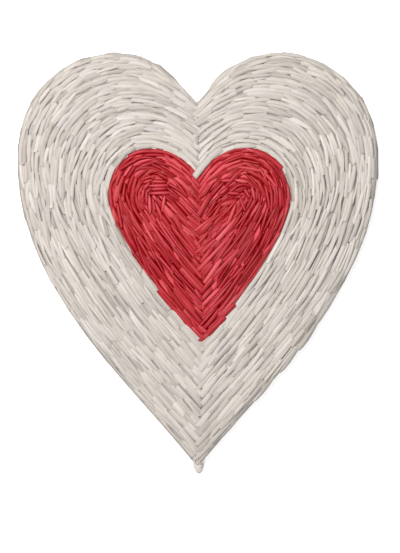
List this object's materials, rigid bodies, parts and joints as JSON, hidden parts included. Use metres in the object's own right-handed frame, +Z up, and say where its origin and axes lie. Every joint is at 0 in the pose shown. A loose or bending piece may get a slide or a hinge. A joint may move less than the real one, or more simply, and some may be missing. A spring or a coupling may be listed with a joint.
{
  "type": "woven paper heart",
  "caption": "Flat heart ornament of short white paper strips laid in rows that follow the outline, with a smaller red strip heart in the middle.",
  "frame": {"origin": "centre of the heart's box, on the flat back that it lies on", "axes": "+Z up out of the front, +Y along the heart from the point to the lobes, +X to its right"},
  "size_m": [0.2402, 0.28, 0.0177],
  "materials": {
    "white_paper": "creased white paper strips, matt with a faint sheen",
    "red_paper": "creased red paper strips, matt with a faint sheen"
  },
  "bodies": {
    "root": {"white_row_01_right": "white_paper", "white_row_01_left": "white_paper", "white_row_02_right": "white_paper", "white_row_02_left": "white_paper", "white_row_03_right": "white_paper", "white_row_03_left": "white_paper", "white_row_04_right": "white_paper", "white_row_04_left": "white_paper", "white_row_05_right": "white_paper", "white_row_05_left": "white_paper", "white_row_06_right": "white_paper", "white_row_06_left": "white_paper", "white_row_07_right": "white_paper", "white_row_07_left": "white_paper", "white_row_08_right": "white_paper", "white_row_08_left": "white_paper", "white_row_09_right": "white_paper", "white_row_09_left": "white_paper", "white_row_10_right": "white_paper", "white_row_10_left": "white_paper", "white_row_11_right": "white_paper", "white_row_11_left": "white_paper", "white_row_12_right": "white_paper", "white_row_12_left": "white_paper", "white_row_13_right": "white_paper", "white_row_13_left": "white_paper", "white_row_14_right": "white_paper", "white_row_14_left": "white_paper", "red_row_01_right": "red_paper", "red_row_01_left": "red_paper", "red_row_02_right": "red_paper", "red_row_02_left": "red_paper", "red_row_03_right": "red_paper", "red_row_03_left": "red_paper", "red_row_04_right": "red_paper", "red_row_04_left": "red_paper", "red_row_05_right": "red_paper", "red_row_05_left": "red_paper", "red_row_06_right": "red_paper", "red_row_06_left": "red_paper", "red_row_07_right": "red_paper", "red_row_07_left": "red_paper", "red_row_08_right": "red_paper", "red_row_08_left": "red_paper", "red_row_09_right": "red_paper", "red_row_09_left": "red_paper", "red_row_10_right": "red_paper", "red_row_10_left": "red_paper", "red_row_11_right": "red_paper", "red_row_11_left": "red_paper", "red_row_12_right": "red_paper", "red_row_12_left": "red_paper", "point_wrap": "white_paper"}
  },
  "joints": []
}
